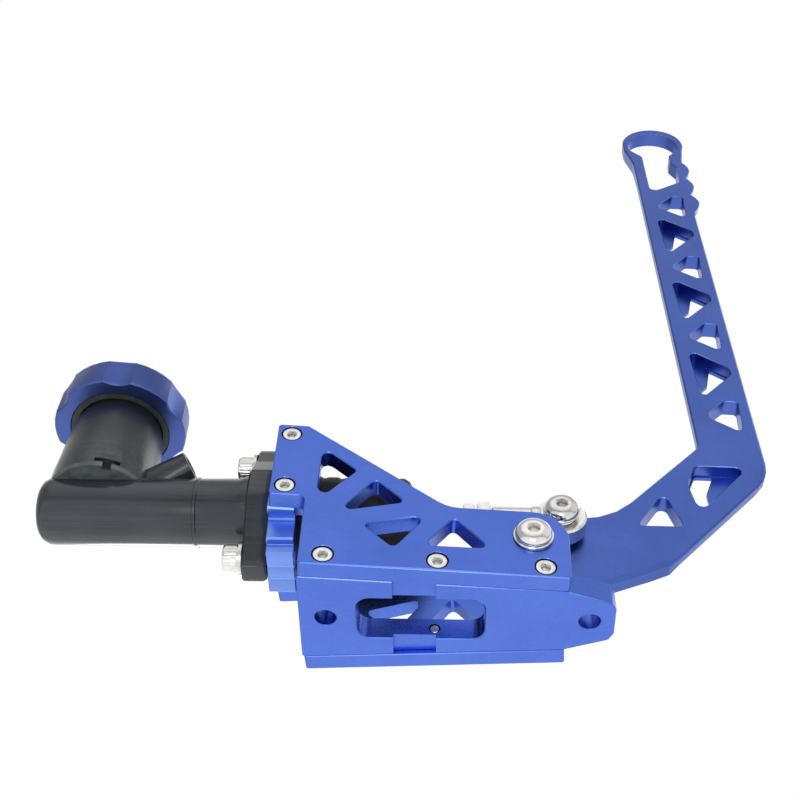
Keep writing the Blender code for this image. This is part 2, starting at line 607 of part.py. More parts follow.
def coil_bm(x0, x1, radius, wire, turns, steps=10, sides=5):
    """Compression spring round the cylinder axis with closed end turns."""
    bm = bmesh.new()
    rows = []
    total = int(turns * steps)
    for i in range(total + 1):
        t = i / total
        a = 2 * math.pi * turns * t
        end = 0.09
        if t < end:
            s = 0.5 * t * t / end
        elif t > 1 - end:
            s = 1 - end - 0.5 * (1 - t) ** 2 / end
        else:
            s = t - end / 2
        s = s / (1 - end)
        c = Vector((x0 + (x1 - x0) * s, radius * math.cos(a), AXIS_Z + radius * math.sin(a)))
        tangent = Vector(((x1 - x0) / (2 * math.pi * turns), -radius * math.sin(a), radius * math.cos(a))).normalized()
        radial = Vector((0, math.cos(a), math.sin(a)))
        other = tangent.cross(radial)
        rows.append([bm.verts.new((c + (radial * math.cos(2 * math.pi * k / sides) + other * math.sin(2 * math.pi * k / sides)) * wire) * MM) for k in range(sides)])
    for a, b in zip(rows, rows[1:]):
        bridge(bm, a, b)
    bm.faces.new(rows[0])
    bm.faces.new(rows[-1])
    return bm


finish("return_spring", coil_bm(BORE_END + 1.6, -153.8, 6.6, 0.85, 7.5), "spring", angle=60)

# rubber boot over the pushrod
boot_out = [(-117.4, 16.9), (-114.0, 17.5), (-103.0, 17.7)]
for k in range(5):
    x = -101.0 + k * 8.2
    r = 17.7 - 1.1 * (k / 4)
    boot_out += [(x, r + 0.1), (x + 4.0, r + 0.1), (x + 5.6, r - 0.7)]
boot_out += [(-59.4, 17.3), (-57.2, 17.1), (-55.0, 15.6), (-53.2, 12.6), (-52.2, 10.4), (-51.0, 8.3), (-49.0, 7.9)]
boot_in = [(-49.0, 6.0), (-52.4, 6.3), (-54.8, 10.8), (-57.6, 13.8), (-63.0, 15.0), (-104.0, 15.6), (-108.6, 15.4), (-117.4, 14.95)]
lathe("pushrod_boot", boot_out + boot_in, ax0, (1, 0, 0), "rubber", n=24, closed_ends=False, angle=50)

# ---------------------------------------------------------------- reservoir cap
def cap_loop(r, depth, land=4, per=6):
    """Round rim with hollows between lands; depth is how far the hollows go in."""
    pitch = 2 * math.pi / GRIPS
    half = math.radians(12.2)
    pts = []
    for k in range(GRIPS):
        mid = math.radians(85.0) + pitch * k
        for j in range(per):
            w = half * (2 * j / per - 1)
            pts.append((mid + w, r - depth * (1 - (w / half) ** 2)))
        for j in range(land):
            pts.append((mid + half + (pitch - 2 * half) * j / land, r))
    return ccw([Vector((RES_X + d * math.cos(-t), d * math.sin(-t))) for t, d in pts])


def cap_ring(r):
    return cap_loop(r, 0.0)


z0, z1 = CAP_Z0, CAP_Z0 + CAP_H
bm = bmesh.new()
cap_rows = [(z0, cap_ring(CAP_BORE_R)), (z0, cap_loop(CAP_R - 0.7, 2.4)), (z0 + 0.7, cap_loop(CAP_R, 2.5)), (z1 - 2.6, cap_loop(CAP_R - 0.3, 1.4)), (z1 - 1.0, cap_loop(CAP_R - 0.8, 0.9)),
            (z1, cap_loop(CAP_R - 2.0, 0.4)), (z1, cap_ring(26.0)), (z1 - 0.8, cap_ring(25.0))]
rows = [[bm.verts.new(Vector((p.x, p.y, z)) * MM) for p in loop] for z, loop in cap_rows]
irows = [[bm.verts.new(Vector((p.x, p.y, z)) * MM) for p in loop] for z, loop in [(z1 - 3.6, cap_ring(CAP_BORE_R))]]
for a, b in zip(rows, rows[1:]):
    bridge(bm, a, b)
bm.faces.new(rows[-1])
bridge(bm, rows[0], irows[0])
bm.faces.new(irows[-1])
finish("reservoir_cap", bm, "blue", angle=28)
lathe("cap_gasket", [(123.1, 21.7), (123.1, 24.7), (124.9, 24.7), (124.9, 21.7)], (RES_X, 0, 0), (0, 0, 1), "gasket", n=32, closed_ends=False)
lathe("cap_diaphragm", [(134.3, 0.0), (134.3, 23.6), (136.6, 23.6), (136.6, 20.6), (135.6, 19.0), (135.6, 0.0)], (RES_X, 0, 0), (0, 0, 1), "rubber", n=28)

# ---------------------------------------------------------------- lever
def arm_x(z):
    return 103.6 - LEAN * (z - 120.0)


def left_x(z):
    return 88.4 - 0.016 * (z - 129.0)


def right_x(z):
    return 120.1 - 0.0172 * (z - 120.0)


def lever_loop():
    """Hub and heel, slanted shank, upright arm, finger ridges and grip ring."""
    pts = fillet([(4.4, 13.4), (32.5, 28.9, 30.0), (57.0, 39.3, 14.0), (65.4, 43.4, 4.0), (69.7, 46.4), (right_x(103.2), 103.2, 25.0), (right_x(150), 150.0), (60.0, 400.0)], 6)[1:-2]
    pts.append(Vector((right_x(150), 150)))
    pts.append(Vector((arm_x(346) + 15.6, 346.0)))
    # three finger ridges, steep above and sloping below
    for z, out in ((364.0, 5.2), (384.6, 4.7), (405.4, 4.5)):
        b = arm_x(z) + 15.55
        for dz, k in ((-12.4, 0.22), (-8.2, 0.62), (-3.6, 0.94), (0.0, 1.0), (4.2, 0.68), (7.4, 0.2)):
            pts.append(Vector((b + out * k, z + dz)))
    # grip ring
    cx, cz = RING_C
    pts.append(Vector((117.2, 420.4)))
    pts += arc(cx, cz, RING_R, -20, 186, 22)
    pts += fillet([(79.4, 434.0), (79.6, 428.8, 7.0), (left_x(411), 411.0, 16.0), (left_x(385), 385.0), (left_x(124.8), 124.8, 8.5), (40.5, 72.4, 35.0), (20.0, 72.4)], 6)[1:-1]
    # lobe about the rod-end bolt, then down to the hub about the pivot
    pts += arc(ROD_X, ROD_Z, 12.0, 62, 195, 10)
    pts += arc(0.0, PIVOT_Z, 11.0, 160, 293, 10)
    return ccw(pts)


def near_edge(p):
    """Chamfer on the near face: wide under the heel."""
    return 2.0 if 24 < p.x < 66 and p.y < 44 else 0.8


def far_edge(p):
    """Rounding on the far face: full along the arm and shank, small at the hub and ring."""
    if p.y < 44:
        return 0.8
    if p.x < 30:
        return 0.8
    return 3.2 if p.y < 396 else 1.4


def tri(corners, r=2.0, seg=3):
    return ccw(fillet([(a, b, r) for a, b in corners], seg))


def lever_holes():
    holes = []
    y0, y1 = LEVER_Y0, LEVER_Y0 + LEVER_T
    c = 0.35

    def through(loop):
        holes.append([[(y0, offset(loop, -c)), (y0 + c, loop), (y1, loop)]])

    def stepped(pocket, window):
        floor = y1 - 2.0
        holes.append([[(y0, offset(pocket, -c)), (y0 + c, pocket), (floor, pocket)], [(floor, window), (y1, window)]])

    for k in range(4):
        z = 368.3 - HOLE_PITCH * k
        m = arm_x(z)
        through(ccw(fillet([(m + 3.7, z, 1.6), (m - 7.4, z - 12.0, 3.0), (m + 9.9, z - 25.2, 2.2), (m + 11.1, z - 0.6, 2.0)], 3)))
    for k in range(3):
        z = 340.2 - HOLE_PITCH * k
        m = arm_x(z)
        pocket = ccw(fillet([(m - 8.9, z + 4.1, 2.8), (m - 6.6, z - 38.1, 2.1), (m + 14.2, z - 15.0, 5.5)], 4))
        window = ccw(fillet([(m + 2.3, z - 6.1, 0.5), (m - 0.6, z - 19.6, 1.0), (m - 6.4, z - 26.3, 0.8), (m - 6.0, z - 36.2, 1.5), (m + 13.2, z - 15.0, 4.8)], 3))
        stepped(pocket, window)
    # elbow: larger stepped opening, and the plain one lower down the shank
    stepped(ccw(fillet([(84.8, 110.2, 2.5), (110.6, 109.2, 2.9), (83.5, 77.2, 3.2), (79.8, 96.8, 3.0)], 3)),
            ccw(fillet([(85.4, 109.4, 1.8), (94.2, 109.0, 0.5), (89.8, 97.0, 1.0), (90.4, 86.4, 0.5), (84.2, 79.2, 2.6), (80.6, 96.8, 2.4)], 3)))
    through(ccw(fillet([(67.6, 91.4, 3.0), (53.0, 67.8, 1.2), (74.4, 67.5, 1.4)], 4)))
    # grip loop: round top inside the ring, straight front, bulge for the finger grooves
    cx, cz = LOOP_C
    loop = arc(cx, cz, LOOP_R, -20, 200, 18)
    low = fillet([(82.4, 428.0), (90.6, 421.0, 5.0), (91.4, 374.0, 3.6), (111.6, 387.4, 3.0), (112.0, 405.6, 3.0), (108.2, 413.6, 3.0), (108.4, 421.4, 3.0), (114.6, 428.9)], 4)[1:-1]
    through(ccw(loop + low))
    for hx, hz, r in ((0.0, PIVOT_Z, 6.2), (ROD_X, ROD_Z, 4.3)):
        ring = circle(hx, hz, r, 28)
        holes.append([[(y0, ring), (y1, ring)]])
    return holes


ll = lever_loop()
lever_y1 = LEVER_Y0 + LEVER_T
prism("lever", [(LEVER_Y0, offset(ll, near_edge)), (lambda p: LEVER_Y0 + near_edge(p), ll),
                (lambda p: lever_y1 - (0.8 if far_edge(p) < 1 else 4.2 if far_edge(p) > 3 else 2.0), ll),
                (lambda p: lever_y1 - (0.4 if far_edge(p) < 1 else 1.4 if far_edge(p) > 3 else 0.7), offset(ll, lambda p: 0.34 * far_edge(p))),
                (lever_y1, offset(ll, far_edge))], lever_holes(), lambda x, z, y: (x, y, z), "lever_blue")

# ---------------------------------------------------------------- pivot
piv = (0.0, 0.0, PIVOT_Z)
seat_y = -(HALF_W0 + PLATE_T * CA - (plate_u(0.0) + PIVOT_SEAT_R) * SA) + 0.12
Y = (0, 1, 0)
lathe("pivot_washer_near", [(seat_y - 2.4, 4.3), (seat_y - 2.4, 8.55), (seat_y - 2.1, 8.85), (seat_y - 0.05, 8.85), (seat_y - 0.05, 4.3)], piv, Y, "steel", n=28, closed_ends=False)
socket_screw("pivot_bolt", (0, seat_y - 2.45, PIVOT_Z), (0, -1, 0), 8.05, 4.2, 4.0, 66.0, "steel", n=24, hex_af=5.0, hex_d=2.6, dome=True)
spacer_n0 = -(half_w(9.0)) + GAP
lathe("pivot_spacer_long", [(spacer_n0, 4.4), (spacer_n0, 8.5), (LEVER_Y0 - GAP, 8.5), (LEVER_Y0 - GAP, 4.4)], piv, Y, "zinc", n=24, closed_ends=False)
lathe("pivot_spacer_short", [(lever_y1 + GAP, 4.4), (lever_y1 + GAP, 8.5), (half_w(9.0) - GAP, 8.5), (half_w(9.0) - GAP, 4.4)], piv, Y, "zinc", n=24, closed_ends=False)
lathe("pivot_bush", [(LEVER_Y0 - 0.05, 4.3), (LEVER_Y0 - 0.05, 5.9), (lever_y1 + 0.05, 5.9), (lever_y1 + 0.05, 4.3)], piv, Y, "bronze", n=28, closed_ends=False)
lathe("pivot_washer_far", [(-seat_y + 0.05, 4.3), (-seat_y + 0.05, 8.0), (-seat_y + 1.65, 8.0), (-seat_y + 1.65, 4.3)], piv, Y, "steel", n=24, closed_ends=False)
hex_nut("pivot_nut", -seat_y + 1.95, -seat_y + 8.4, 13.0, 4.3, piv, Y, "steel")

# ---------------------------------------------------------------- rod end
rod = Vector((ROD_X, 0.0, ROD_Z))
tip = Vector((TIP_X, 0.0, AXIS_Z))
along = (tip - rod).normalized()                     # from the eye to the piston
ball = [(-BALL_W / 2, 4.3), (-BALL_W / 2, 6.0)]
for k in range(-3, 4):
    t = math.asin(min(1.0, (BALL_W / 2 - 0.4) / BALL_R)) * k / 3.0
    ball.append((BALL_R * math.sin(t), BALL_R * math.cos(t)))
ball += [(BALL_W / 2, 6.0), (BALL_W / 2, 4.3)]
lathe("rod_end_ball", ball, rod, Y, "steel", n=22, closed_ends=False, angle=45)
hb = BALL_R + GAP
race = [(-HOUSING_W / 2 + 0.8, HOUSING_R), (-HOUSING_W / 2, HOUSING_R - 0.9), (-HOUSING_W / 2, math.sqrt(hb * hb - (HOUSING_W / 2) ** 2))]
for k in range(-3, 4):
    y = HOUSING_W / 2 * k / 4.0
    race.append((y, math.sqrt(hb * hb - y * y)))
race += [(HOUSING_W / 2, math.sqrt(hb * hb - (HOUSING_W / 2) ** 2)), (HOUSING_W / 2, HOUSING_R - 0.9), (HOUSING_W / 2 - 0.8, HOUSING_R)]
housing = lathe("rod_end_housing", race, rod, Y, "zinc", n=28, closed_ends=False, angle=40)
shank = [(9.6, 0.0), (9.6, 6.6), (10.4, 6.95), (13.4, 6.95), (14.2, 6.4), (15.0, 6.3), (31.4, 6.2), (32.3, 5.4), (32.3, 0.0)]
cutter(housing, "tool_shank", lathe("tool", shank, rod, along, "zinc", n=20, build=False), "UNION")
cutter(housing, "tool_shank_bore", cyl_bm(rod + along * 21.0, rod + along * 34.0, 4.25, 16))

lathe("pushrod", [(22.0, 0.0), (22.0, 3.4), (22.6, 4.0), (104.0, 4.0), (105.5, 3.2), (134.5, 3.2), (136.0, 3.6), (138.6, 4.0), (140.2, 3.3), (140.9, 1.6), (141.0, 0.0)], rod, along, "steel", n=16)
hex_nut("rod_lock_nut", 32.7, 39.3, 14.6, 4.3, rod, along, "steel")
hex_nut("rod_jam_nut", 40.2, 45.6, 13.0, 4.3, rod, along, "steel")
lathe("rod_end_cone_spacer", [(-6.8, 4.3), (-6.8, 6.9), (-6.15, 5.9), (-6.15, 4.3)], rod, Y, "steel", n=24, closed_ends=False)
lathe("rod_end_washer", [(-7.9, 4.3), (-7.9, 8.3), (-7.6, 8.6), (-6.95, 8.6), (-6.95, 4.3)], rod, Y, "steel", n=24, closed_ends=False)
socket_screw("rod_end_bolt", (ROD_X, -8.05, ROD_Z), (0, -1, 0), 8.0, 4.2, 4.0, 32.4, "steel", n=24, hex_af=5.0, hex_d=2.6, dome=True)
lathe("rod_end_spacer", [(BALL_W / 2 + GAP * 0.5, 4.3), (BALL_W / 2 + GAP * 0.5, 6.6), (LEVER_Y0 - GAP * 0.5, 6.6), (LEVER_Y0 - GAP * 0.5, 4.3)], rod, Y, "steel", n=28, closed_ends=False)
hex_nut("rod_end_nut", lever_y1 + GAP, lever_y1 + 7.2, 13.0, 4.3, rod, Y, "steel")


# ---------------------------------------------------------------- moving pieces on their axes
def carry(name, at, members, parent=None):
    """Empty on a joint's axis that carries the pieces moving with it."""
    e = bpy.data.objects.new(name, None)
    bpy.context.scene.collection.objects.link(e)
    e.empty_display_size = 0.01
    e.location = Vector(at) * MM
    if parent:
        e.parent = parent
        e.location = (Vector(at) * MM) - parent.matrix_world.translation
    bpy.context.view_layer.update()
    for m in members:
        ob = bpy.data.objects[m]
        ob.parent = e
        ob.matrix_parent_inverse = e.matrix_world.inverted()
    return e


lever_axis = carry("lever_axis", piv, ["lever", "pivot_bush", "rod_end_ball", "rod_end_cone_spacer", "rod_end_washer", "rod_end_bolt", "rod_end_spacer", "rod_end_nut"])
carry("rod_axis", rod, ["rod_end_housing", "pushrod", "rod_lock_nut", "rod_jam_nut"], lever_axis)
carry("piston_axis", (TIP_X, 0, AXIS_Z), ["piston", "primary_cup", "secondary_cup"])
lift = carry("cap_lift_axis", (RES_X, 0, CAP_Z0), ["cap_gasket", "cap_diaphragm"])
carry("cap_turn_axis", (RES_X, 0, CAP_Z0), ["reservoir_cap"], lift)
for ob in bpy.data.objects:
    if ob.name.startswith("tool_"):
        owner = next((o for o in bpy.data.objects if any(m.type == "BOOLEAN" and m.object == ob for m in o.modifiers)), None)
        if owner is not None and owner.parent is not None:
            ob.parent = owner.parent
            ob.matrix_parent_inverse = owner.parent.matrix_world.inverted()
bpy.context.view_layer.update()
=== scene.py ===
"""Looks of the hydraulic parking brake lever: materials, small shapes, light and camera."""
import json
import math

import bmesh
import bpy
from mathutils import Matrix, Vector

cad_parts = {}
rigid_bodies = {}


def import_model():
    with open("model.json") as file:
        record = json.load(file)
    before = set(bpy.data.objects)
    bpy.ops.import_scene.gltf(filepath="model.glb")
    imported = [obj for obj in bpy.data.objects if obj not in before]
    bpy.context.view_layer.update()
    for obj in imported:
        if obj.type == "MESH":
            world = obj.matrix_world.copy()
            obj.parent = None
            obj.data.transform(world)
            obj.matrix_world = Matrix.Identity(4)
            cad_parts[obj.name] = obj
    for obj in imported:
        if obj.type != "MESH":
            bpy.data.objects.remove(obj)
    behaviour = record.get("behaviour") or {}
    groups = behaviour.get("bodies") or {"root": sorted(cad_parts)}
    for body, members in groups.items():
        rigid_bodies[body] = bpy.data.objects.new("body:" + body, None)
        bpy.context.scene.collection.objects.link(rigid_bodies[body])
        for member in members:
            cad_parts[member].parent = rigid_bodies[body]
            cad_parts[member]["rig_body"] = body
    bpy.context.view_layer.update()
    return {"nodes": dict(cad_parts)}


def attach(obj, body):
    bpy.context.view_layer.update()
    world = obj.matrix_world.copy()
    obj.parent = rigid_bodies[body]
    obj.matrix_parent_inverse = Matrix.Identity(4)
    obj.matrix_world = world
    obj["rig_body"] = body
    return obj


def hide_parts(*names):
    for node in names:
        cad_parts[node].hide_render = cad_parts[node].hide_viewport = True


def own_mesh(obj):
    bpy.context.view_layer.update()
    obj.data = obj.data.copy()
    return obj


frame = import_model()
nodes = frame["nodes"]
scene = bpy.context.scene
MM = 0.001


# ---------------------------------------------------------------- node helpers
class Tree:
    """Short forms for building a node tree."""

    def __init__(self, tree):
        self.t = tree

    def add(self, kind, **values):
        n = self.t.nodes.new(kind)
        for k, v in values.items():
            if k.startswith("i_"):
                n.inputs[k[2:].replace("_", " ")].default_value = v
            else:
                setattr(n, k, v)
        return n

    def link(self, a, b):
        self.t.links.new(a, b)

    def math(self, op, a, b=None, c=None, clamp=False):
        n = self.add("ShaderNodeMath", operation=op, use_clamp=clamp)
        for i, v in enumerate((a, b, c)):
            if v is None:
                continue
            if isinstance(v, (int, float)):
                n.inputs[i].default_value = v
            else:
                self.link(v, n.inputs[i])
        return n.outputs[0]

    def vector(self, op, a, b=None):
        n = self.add("ShaderNodeVectorMath", operation=op)
        for i, v in enumerate((a, b)):
            if v is None:
                continue
            if isinstance(v, (tuple, list)):
                n.inputs[i].default_value = v
            else:
                self.link(v, n.inputs[i])
        return n

    def noise(self, coords, scale, detail=2.0, rough=0.5, stretch=None, distortion=0.0):
        if stretch is not None:
            coords = self.vector("MULTIPLY", coords, stretch).outputs[0]
        n = self.add("ShaderNodeTexNoise")
        n.inputs["Scale"].default_value = scale
        n.inputs["Detail"].default_value = detail
        n.inputs["Roughness"].default_value = rough
        n.inputs["Distortion"].default_value = distortion
        self.link(coords, n.inputs["Vector"])
        return n.outputs[0]

    def range(self, v, a, b, c, d, smooth=False):
        n = self.add("ShaderNodeMapRange")
        if smooth:
            n.interpolation_type = "SMOOTHSTEP"
        self.link(v, n.inputs[0])
        for i, x in zip((1, 2, 3, 4), (a, b, c, d)):
            n.inputs[i].default_value = x
        return n.outputs[0]

    def mix(self, f, a, b):
        n = self.add("ShaderNodeMix", data_type="RGBA")
        fac, ca, cb = n.inputs[0], n.inputs[6], n.inputs[7]
        if isinstance(f, (int, float)):
            fac.default_value = f
        else:
            self.link(f, fac)
        for sock, v in ((ca, a), (cb, b)):
            if isinstance(v, tuple):
                sock.default_value = (*v, 1.0)
            else:
                self.link(v, sock)
        return n.outputs[2]


def new_material(name):
    m = bpy.data.materials.new(name)
    m.use_nodes = True
    t = Tree(m.node_tree)
    b = m.node_tree.nodes["Principled BSDF"]
    obj = t.add("ShaderNodeTexCoord").outputs["Object"]
    mm = t.vector("MULTIPLY", obj, (1000.0, 1000.0, 1000.0)).outputs[0]
    return m, t, b, mm


def edge_mask(t, radius_mm, lo=0.004, hi=0.08):
    """1 on convex and concave edges narrower than the radius, 0 on flats."""
    bev = t.add("ShaderNodeBevel", samples=4)
    bev.inputs["Radius"].default_value = radius_mm * MM
    geo = t.add("ShaderNodeNewGeometry")
    dot = t.vector("DOT_PRODUCT", bev.outputs[0], geo.outputs["Normal"]).outputs["Value"]
    return t.range(t.math("SUBTRACT", 1.0, dot), lo, hi, 0.0, 1.0, smooth=True)


def painted_recess_shade(t, reach_mm, low):
    """Painted shade from ambient occlusion: low in tight recesses, 1 on open faces."""
    ao = t.add("ShaderNodeAmbientOcclusion", samples=6)
    ao.inputs["Distance"].default_value = reach_mm * MM
    return t.range(ao.outputs["AO"], 0.25, 0.85, low, 1.0, smooth=True)


def shaded(t, col, factor):
    """Colour times a factor."""
    n = t.add("ShaderNodeVectorMath", operation="SCALE")
    t.link(col, n.inputs[0])
    t.link(factor, n.inputs["Scale"])
    return n.outputs[0]


def bumps(t, b, layers):
    """Chain of bumps from (height, distance in mm, strength)."""
    normal = None
    for height, dist, strength in layers:
        n = t.add("ShaderNodeBump")
        n.inputs["Distance"].default_value = dist * MM
        n.inputs["Strength"].default_value = strength
        t.link(height, n.inputs["Height"])
        if normal is not None:
            t.link(normal, n.inputs["Normal"])
        normal = n.outputs[0]
    t.link(normal, b.inputs["Normal"])


def anodised(name, deep, light, rough, lines):
    """Anodised aluminium: grain of the etch, machining lines, slow colour drift, painted highlights on the chamfers,
    painted shade in recesses.
    """
    m, t, b, mm = new_material(name)
    b.inputs["Metallic"].default_value = 1.0
    drift = t.noise(mm, 0.022, 3.0, 0.55)
    mottle = t.noise(mm, 0.35, 4.0, 0.6)
    line = t.noise(mm, 1.0, 3.0, 0.65, stretch=lines)
    grain = t.noise(mm, 5.5, 3.0, 0.6)
    f = t.math("ADD", t.math("MULTIPLY", drift, 0.55), t.math("ADD", t.math("MULTIPLY", mottle, 0.25), t.math("MULTIPLY", line, 0.2)))
    col = t.mix(t.range(f, 0.36, 0.64, 0.0, 1.0), deep, light)
    # painted highlight: chamfer strips are mixed toward a paler blue, standing for the light lines the edges catch
    pale = tuple(min(1.0, c * 1.35 + 0.10) for c in light)
    chamfer = t.add("ShaderNodeAttribute", attribute_name="chamfer").outputs["Fac"]
    col = t.mix(t.math("MULTIPLY", chamfer, 0.85), col, pale)
    # painted shade: base colour darkened in recesses by ambient occlusion
    t.link(shaded(t, col, painted_recess_shade(t, 7.0, 0.88)), b.inputs["Base Color"])
    r = t.math("ADD", t.math("SUBTRACT", rough - 0.06, t.math("MULTIPLY", chamfer, 0.05)), t.math("ADD", t.math("MULTIPLY", mottle, 0.07), t.math("MULTIPLY", line, 0.06)))
    t.link(r, b.inputs["Roughness"])
    bumps(t, b, [(line, 0.006, 0.16), (grain, 0.004, 0.06)])
    return m


def casting(name):
    """Black coated casting: soft orange peel over a cast skin, with painted reflection streaks, painted edge
    highlights, a painted lighter foot and a base colour darker towards the top of the neck.
    """
    m, t, b, mm = new_material(name)
    peel = t.noise(mm, 0.55, 2.0, 0.5)
    skin = t.noise(mm, 2.6, 3.0, 0.6)
    drift = t.noise(mm, 0.05, 2.0, 0.5)
    # painted reflection: lighter streaks running along the cylinder's axis
    painted_reflection_streak = t.noise(mm, 1.0, 3.0, 0.6, stretch=(0.012, 0.42, 0.42))
    col = t.mix(t.range(drift, 0.35, 0.65, 0.0, 1.0), (0.018, 0.023, 0.032), (0.028, 0.034, 0.046))
    col = t.mix(t.range(painted_reflection_streak, 0.48, 0.66, 0.0, 0.55, smooth=True), col, (0.048, 0.053, 0.064))
    # painted highlight: convex and concave edges mixed toward a lighter grey
    col = t.mix(t.math("MULTIPLY", edge_mask(t, 0.8), 0.5), col, (0.06, 0.063, 0.07))
    # painted light: the downward-facing foot and the pad (skin attribute) are mixed toward a lighter grey; they are
    # also made rougher
    painted_foot_light = t.math("MULTIPLY", t.add("ShaderNodeAttribute", attribute_name="skin").outputs["Fac"], t.range(t.noise(mm, 0.16, 3.0, 0.55), 0.36, 0.62, 0.40, 0.85, smooth=True))
    col = t.mix(painted_foot_light, col, (0.105, 0.124, 0.127))
    height = t.add("ShaderNodeSeparateXYZ")
    t.link(mm, height.inputs[0])
    # base colour darker towards the top of the neck, z 82 to 104 mm
    t.link(shaded(t, col, t.range(height.outputs["Z"], 82.0, 104.0, 1.0, 0.45, smooth=True)), b.inputs["Base Color"])
    dull = t.range(height.outputs["Z"], 82.0, 104.0, 0.0, 0.16, smooth=True)      # the neck is blasted, the cylinder is smooth
    base = t.math("ADD", t.math("ADD", 0.12, dull), t.math("MULTIPLY", painted_foot_light, 0.30))
    t.link(t.math("ADD", base, t.math("ADD", t.math("MULTIPLY", peel, 0.05), t.math("MULTIPLY", skin, 0.05))), b.inputs["Roughness"])
    b.inputs["Specular IOR Level"].default_value = 0.62
    bumps(t, b, [(peel, 0.06, 0.18), (skin, 0.012, 0.35)])
    return m


def steel(name, deep, light, rough, turned=None, reach=2.2, low=0.48):
    """Bare or plated steel; turned is (x, z) in mm of the axis that the turning marks run round."""
    m, t, b, mm = new_material(name)
    b.inputs["Metallic"].default_value = 1.0
    mottle = t.noise(mm, 0.5, 4.0, 0.6)
    scratch = t.noise(mm, 1.0, 2.0, 0.6, stretch=(7.0, 0.4, 5.0))
    col = t.mix(t.range(mottle, 0.35, 0.65, 0.0, 1.0), deep, light)
    # painted shade: base colour darkened in recesses such as sockets by ambient occlusion
    t.link(shaded(t, col, painted_recess_shade(t, reach, low)), b.inputs["Base Color"])
    t.link(t.math("ADD", rough - 0.04, t.math("ADD", t.math("MULTIPLY", mottle, 0.08), t.math("MULTIPLY", scratch, 0.05))), b.inputs["Roughness"])
    layers = [(scratch, 0.006, 0.4)]
    if turned is not None:
        centred = t.vector("SUBTRACT", mm, (turned[0], 0.0, turned[1])).outputs[0]
        flat = t.vector("MULTIPLY", centred, (1.0, 0.0, 1.0)).outputs[0]
        radius = t.vector("LENGTH", flat).outputs["Value"]
        ring = t.add("ShaderNodeTexNoise", noise_dimensions="1D")
        ring.inputs["Scale"].default_value = 6.0
        ring.inputs["Detail"].default_value = 2.0
        t.link(radius, ring.inputs["W"])
        layers.append((ring.outputs[0], 0.008, 0.5))
    bumps(t, b, layers)
    return m


def rubber(name, deep, light, rough):
    m, t, b, mm = new_material(name)
    dust = t.noise(mm, 0.25, 4.0, 0.65)
    grain = t.noise(mm, 4.0, 2.0, 0.6)
    t.link(t.mix(t.range(dust, 0.4, 0.75, 0.0, 1.0, smooth=True), deep, light), b.inputs["Base Color"])
    t.link(t.math("ADD", rough - 0.05, t.math("MULTIPLY", grain, 0.12)), b.inputs["Roughness"])
    b.inputs["Specular IOR Level"].default_value = 0.4
    bumps(t, b, [(grain, 0.03, 0.4)])
    return m


BLUE = anodised("blue_anodised", (0.079, 0.153, 0.575), (0.100, 0.188, 0.670), 0.27, (0.10, 2.6, 2.6))
# the bracket's anodise is glossier; its colour is a lighter, paler copy of the frame's blue, painted light for its
# bright ribs
BLUE_GLOSS_PAINTED_LIGHT = anodised("bracket_anodised_painted_light", (0.140, 0.240, 0.640), (0.178, 0.302, 0.770), 0.24, (2.6, 2.6, 0.10))
BLUE_CAP = anodised("cap_anodised", (0.064, 0.108, 0.340), (0.085, 0.134, 0.405), 0.38, (2.2, 2.2, 0.12))
LEVER = anodised("lever_anodised", (0.068, 0.124, 0.430), (0.088, 0.154, 0.515), 0.31, (2.6, 2.6, 0.10))
CAST = casting("black_casting")
STEEL = steel("stainless", (0.76, 0.75, 0.73), (0.90, 0.88, 0.86), 0.19)
DOME = steel("stainless_turned", (0.80, 0.79, 0.77), (0.92, 0.91, 0.89), 0.08, turned=(0.0, 23.5), reach=2.4, low=0.42)
# painted shade: the rod-end bolt's turned stainless is a darker copy of the pivot bolt's
DOME_ROD_PAINTED_SHADE = steel("stainless_turned_rod_painted_shade", (0.68, 0.67, 0.65), (0.81, 0.79, 0.77), 0.08, turned=(15.6, 62.0), reach=2.4, low=0.42)
ZINC = steel("zinc_plate", (0.66, 0.67, 0.67), (0.80, 0.80, 0.78), 0.26)
SPRING = steel("spring_steel", (0.28, 0.28, 0.29), (0.40, 0.40, 0.41), 0.34)
BRONZE = steel("bronze", (0.38, 0.25, 0.11), (0.50, 0.34, 0.17), 0.38)
RUBBER = rubber("black_rubber", (0.013, 0.013, 0.014), (0.045, 0.045, 0.047), 0.62)
GASKET = rubber("grey_gasket", (0.030, 0.038, 0.036), (0.055, 0.068, 0.062), 0.42)

# ---------------------------------------------------------------- smooth shading by angle
def smooth_group(angle):
    g = bpy.data.node_groups.new(f"smooth_{int(angle)}", "GeometryNodeTree")
    g.interface.new_socket("Geometry", in_out="INPUT", socket_type="NodeSocketGeometry")
    g.interface.new_socket("Geometry", in_out="OUTPUT", socket_type="NodeSocketGeometry")
    t = Tree(g)
    gin, gout = t.add("NodeGroupInput"), t.add("NodeGroupOutput")
    weld = t.add("GeometryNodeMergeByDistance")
    weld.inputs["Distance"].default_value = 2e-6
    face = t.add("GeometryNodeSetShadeSmooth", domain="FACE")
    edge = t.add("GeometryNodeSetShadeSmooth", domain="EDGE")
    ang = t.add("GeometryNodeInputMeshEdgeAngle")
    big = t.add("FunctionNodeCompare", data_type="FLOAT", operation="GREATER_THAN")
    big.inputs[1].default_value = math.radians(angle)
    t.link(gin.outputs[0], weld.inputs[0])
    t.link(weld.outputs[0], face.inputs["Geometry"])
    face.inputs["Shade Smooth"].default_value = True
    t.link(face.outputs[0], edge.inputs["Geometry"])
    t.link(ang.outputs["Unsigned Angle"], big.inputs[0])
    t.link(big.outputs[0], edge.inputs["Selection"])
    edge.inputs["Shade Smooth"].default_value = False
    t.link(edge.outputs[0], gout.inputs[0])
    return g


